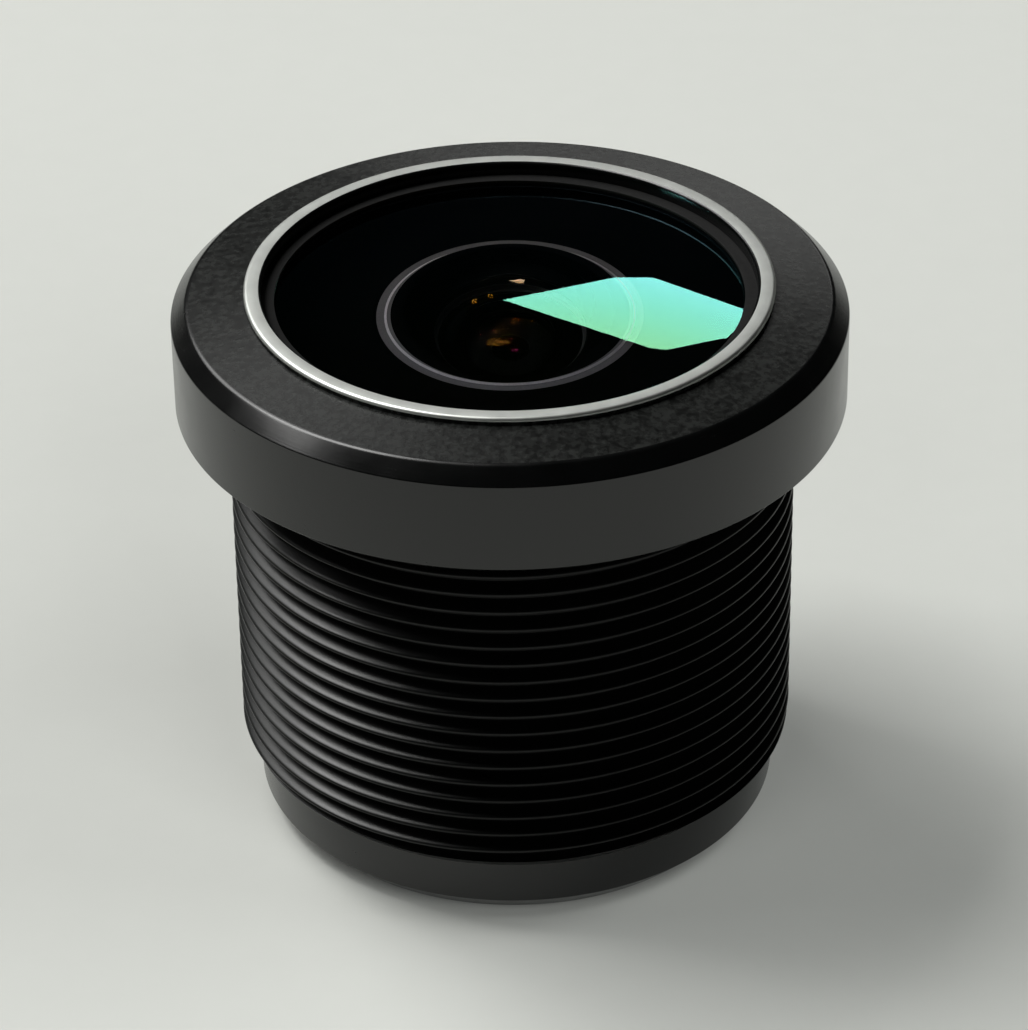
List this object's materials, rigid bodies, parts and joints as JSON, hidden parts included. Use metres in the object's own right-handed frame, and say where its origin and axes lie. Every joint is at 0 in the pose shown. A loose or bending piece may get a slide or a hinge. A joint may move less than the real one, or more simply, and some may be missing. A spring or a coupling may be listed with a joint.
{
  "type": "board camera lens",
  "caption": "Board camera lens: black barrel with a fine mounting thread, wide screw-on front cap, domed front glass and a stack of elements, a stop and a rear filter.",
  "frame": {"origin": "middle of the rear face, which the lens stands on", "axes": "+Z along the optical axis, out of the front glass; X and Y are any two directions across it, since the lens is turned, apart from the thread and the spanner slots, which lie along X"},
  "size_m": [0.0166, 0.0166, 0.0148],
  "materials": {
    "anodised_black": "satin",
    "optical_glass": "polished, coated",
    "filter_glass": "polished, blue-green tint",
    "black_film": "matt",
    "seal_rubber": "matt",
    "clear_adhesive": "clear, glossy"
  },
  "bodies": {
    "barrel": {"barrel": "anodised_black", "front_element": "optical_glass", "front_o_ring": "seal_rubber", "front_light_mask": "black_film", "second_element": "optical_glass", "front_spacer": "anodised_black", "third_element": "optical_glass", "middle_spacer": "anodised_black", "aperture_stop": "black_film", "stop_spacer": "anodised_black", "fourth_element": "optical_glass", "fourth_spacer": "anodised_black", "doublet_crown": "optical_glass", "doublet_flint": "optical_glass", "rear_light_mask": "black_film", "rear_retainer": "anodised_black", "ir_cut_filter": "filter_glass", "filter_glue_ring": "clear_adhesive"},
    "slip_ring": {"glass_slip_ring": "black_film"},
    "cap": {"head_cap": "anodised_black"}
  },
  "joints": [
    {"name": "cap_lift", "type": "slide", "parent": "barrel", "child": "slip_ring", "axis": [0, 0, 1], "range_m": [0, 0.00226]},
    {"name": "cap_turn", "type": "hinge", "parent": "slip_ring", "child": "cap", "pos_m": [0, 0, 0.0125], "axis": [0, 0, 1], "range_deg": [0, 1627.7]}
  ],
  "couplings": [
    {"joint": "cap_turn", "follows": "cap_lift", "rad_per_m": 12566}
  ]
}
